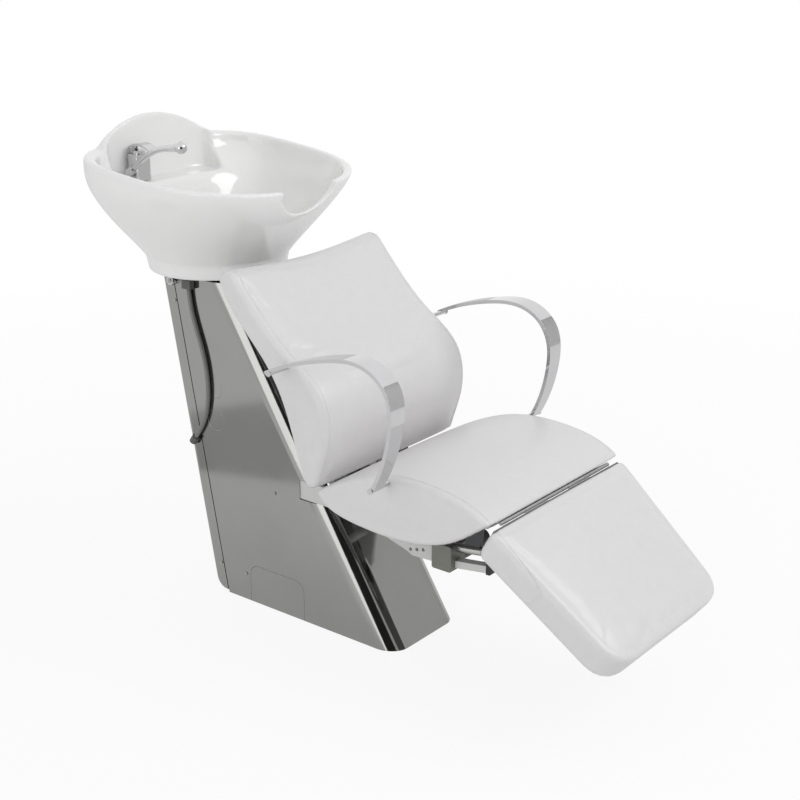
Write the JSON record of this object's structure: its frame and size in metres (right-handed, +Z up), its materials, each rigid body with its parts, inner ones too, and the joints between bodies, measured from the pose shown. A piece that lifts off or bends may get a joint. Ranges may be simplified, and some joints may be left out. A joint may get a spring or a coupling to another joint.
{
  "type": "hair washing bed",
  "caption": "Salon backwash unit: leaning steel column with a tilting ceramic basin, mixer and hand spray, padded seat and backrest with band armrests, and a driven legrest.",
  "frame": {"origin": "centre of the floor anchor holes, at floor level", "axes": "+Z up, -Y the way the sitter faces, +X the sitter's left"},
  "size_m": [0.604, 1.4495, 1.096],
  "materials": {
    "column_steel": "polished sheet",
    "chrome": "bright plated",
    "vinyl": "smooth pale upholstery vinyl",
    "ceramic": "gloss glaze",
    "frame_paint": "satin powder coat",
    "arm_paint": "satin powder coat",
    "zinc_steel": "plain zinc",
    "board": "plain birch ply",
    "black_plastic": "fine texture",
    "pale_plastic": "moulded",
    "hose_skin": "braided cover under clear skin",
    "rubber": "matte",
    "brass": "machined"
  },
  "bodies": {
    "stand": {"armrest_left": "chrome", "armrest_pins": "chrome", "armrest_right": "chrome", "back_brackets": "frame_paint", "backrest_board": "board", "backrest_cushion": "vinyl", "base_plate": "frame_paint", "carrier_arm_left": "arm_paint", "carrier_arm_right": "arm_paint", "carrier_bolts": "zinc_steel", "carrier_cross_tube": "arm_paint", "column_shell": "column_steel", "drive_gearbox": "black_plastic", "drive_guide": "black_plastic", "drive_hanger": "frame_paint", "drive_motor": "black_plastic", "drive_rail": "pale_plastic", "drive_rail_cap": "black_plastic", "drive_tube": "chrome", "frame_cross_tubes": "frame_paint", "frame_plate_left": "frame_paint", "frame_plate_right": "frame_paint", "hinge_pin": "zinc_steel", "hinge_seat_leaf": "zinc_steel", "hose_fitting": "black_plastic", "hose_grommet": "black_plastic", "rear_cover": "column_steel", "seat_bolts": "zinc_steel", "seat_cushion": "vinyl", "seat_pan": "board", "seat_rails": "frame_paint", "shell_screws": "zinc_steel", "side_hose": "hose_skin", "tilt_pin": "zinc_steel"},
    "flap": {"inspection_flap": "column_steel"},
    "knob": {"tilt_lock_knob": "chrome"},
    "basin": {"tilt_bushes": "brass", "basin_cradle": "frame_paint", "basin_rubber_pad": "rubber", "basin_bolts": "zinc_steel", "basin_bowl": "ceramic", "drain_flange": "chrome", "drain_nut": "brass", "bottle_trap": "black_plastic", "mixer_body": "chrome", "mixer_nut": "brass"},
    "strainer": {"drain_strainer": "chrome"},
    "mixer_turn": {"mixer_cap": "chrome", "mixer_lever_pin": "zinc_steel"},
    "mixer_lift": {"mixer_lever": "chrome"},
    "spray": {"hand_spray": "chrome"},
    "legrest": {"legrest_levers": "frame_paint", "legrest_board": "board", "legrest_cushion": "vinyl", "lever_screws": "zinc_steel", "hinge_leg_leaf": "zinc_steel"},
    "drive_slider": {"drive_rod": "zinc_steel", "drive_cross_pin": "zinc_steel"}
  },
  "joints": [
    {"name": "basin_tilt", "type": "hinge", "parent": "stand", "child": "basin", "pos_m": [0, 0.375, 0.747], "axis": [-1, 0, 0], "range_deg": [0, 12]},
    {"name": "knob_turn", "type": "hinge", "parent": "stand", "child": "knob", "pos_m": [-0.124, 0.375, 0.747], "axis": [1, 0, 0], "range_deg": [0, 180]},
    {"name": "strainer_lift", "type": "slide", "parent": "basin", "child": "strainer", "axis": [0, 0, 1], "range_m": [0, 0.04]},
    {"name": "mixer_swing", "type": "hinge", "parent": "basin", "child": "mixer_turn", "pos_m": [-0.066, 0.526, 1.019], "axis": [0, 0, 1], "range_deg": [-45, 45]},
    {"name": "mixer_flow", "type": "hinge", "parent": "mixer_turn", "child": "mixer_lift", "pos_m": [-0.066, 0.543, 1.0245], "axis": [-1, 0, 0], "range_deg": [0, 20]},
    {"name": "spray_pull", "type": "slide", "parent": "basin", "child": "spray", "axis": [0, -0.808, 0.5892], "range_m": [0, 0.06]},
    {"name": "legrest_hinge", "type": "hinge", "parent": "stand", "child": "legrest", "pos_m": [0, -0.5954, 0.4335], "axis": [-1, 0, 0], "range_deg": [-25, 38]},
    {"name": "drive_slide", "type": "slide", "parent": "stand", "child": "drive_slider", "axis": [0, -0.9903, 0.1392], "range_m": [-0.0525, 0.0797]},
    {"name": "flap_pull", "type": "slide", "parent": "stand", "child": "flap", "axis": [-1, 0, 0], "range_m": [0, 0.06]}
  ],
  "couplings": [
    {"joint": "drive_slide", "follows": "legrest_hinge", "m_per_rad": 0.12}
  ]
}
